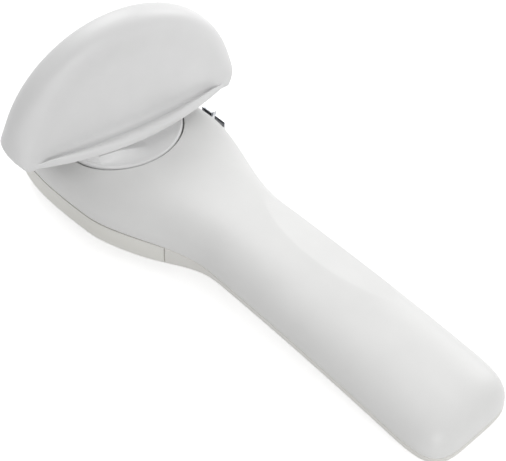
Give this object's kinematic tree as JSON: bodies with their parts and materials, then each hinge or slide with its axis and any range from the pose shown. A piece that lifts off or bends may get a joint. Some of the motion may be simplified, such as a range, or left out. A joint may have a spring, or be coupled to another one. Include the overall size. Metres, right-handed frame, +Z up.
{
  "type": "can opener",
  "caption": "White hand can opener with a broad handle, a half-round winged turn key, a squeeze lever on one flank, lid pincers on the other, and a drive wheel and cutting wheel below.",
  "frame": {"origin": "on the table, under the middle of the part's length, on the plane through the key's axis", "axes": "+X from the key towards the tail of the handle, +Z up along the key's axis"},
  "size_m": [0.182, 0.0788, 0.0692],
  "materials": {
    "white_abs": "satin moulded white plastic",
    "acetal": "natural acetal",
    "bright_steel": "turned steel",
    "tool_steel": "hardened steel",
    "spring_steel": "spring steel",
    "zinc_steel": "zinc plated steel",
    "chromed_steel": "chrome plated steel",
    "bronze": "sintered bronze"
  },
  "bodies": {
    "housing": {"upper_shell": "white_abs", "lower_shell": "white_abs", "shell_screws": "zinc_steel", "shaft_bush": "bronze", "lever_pin": "bright_steel", "return_spring": "spring_steel", "fixed_jaw": "chromed_steel", "jaw_pin": "bright_steel"},
    "key": {"key_wing": "white_abs", "key_disc": "white_abs", "key_washer": "acetal", "drive_shaft": "bright_steel", "drive_wheel": "tool_steel", "clutch_spring": "spring_steel"},
    "pinion": {"pinion_gear": "acetal"},
    "cam": {"cam_gear": "acetal", "cutter_axle": "bright_steel"},
    "cutter": {"cutting_wheel": "tool_steel", "cutter_washer": "bright_steel"},
    "lever": {"side_lever": "white_abs"},
    "pusher": {"push_bar": "acetal"},
    "pincer": {"moving_jaw": "chromed_steel"}
  },
  "joints": [
    {"name": "key_turn", "type": "hinge", "parent": "housing", "child": "key", "pos_m": [-0.059, 0, 0], "axis": [0, 0, 1], "continuous": true},
    {"name": "cam_swing", "type": "hinge", "parent": "housing", "child": "cam", "pos_m": [-0.041, 0, 0], "axis": [0, 0, 1], "range_deg": [0, 150]},
    {"name": "pinion_turn", "type": "hinge", "parent": "housing", "child": "pinion", "pos_m": [-0.059, 0, 0], "axis": [0, 0, 1], "range_deg": [-300, 0]},
    {"name": "cutter_spin", "type": "hinge", "parent": "cam", "child": "cutter", "pos_m": [-0.044, 0, 0], "axis": [0, 0, 1], "continuous": true},
    {"name": "lever_press", "type": "hinge", "parent": "housing", "child": "lever", "pos_m": [-0.08, -0.0125, 0], "axis": [0, 0, 1], "range_deg": [0, 1.4], "stiffness_Nm_per_rad": 5, "springref_deg": -2.29},
    {"name": "push_slide", "type": "slide", "parent": "housing", "child": "pusher", "axis": [0, 1, 0], "range_m": [0, 0.00069]},
    {"name": "pincer_close", "type": "hinge", "parent": "housing", "child": "pincer", "pos_m": [-0.0464, 0.0205, 0], "axis": [0, 0, 1], "range_deg": [-7.05, 0]}
  ],
  "couplings": [
    {"joint": "pinion_turn", "follows": "cam_swing", "ratio": -2},
    {"joint": "push_slide", "follows": "lever_press", "m_per_rad": 0.028},
    {"joint": "pincer_close", "follows": "lever_press", "ratio": -5}
  ]
}
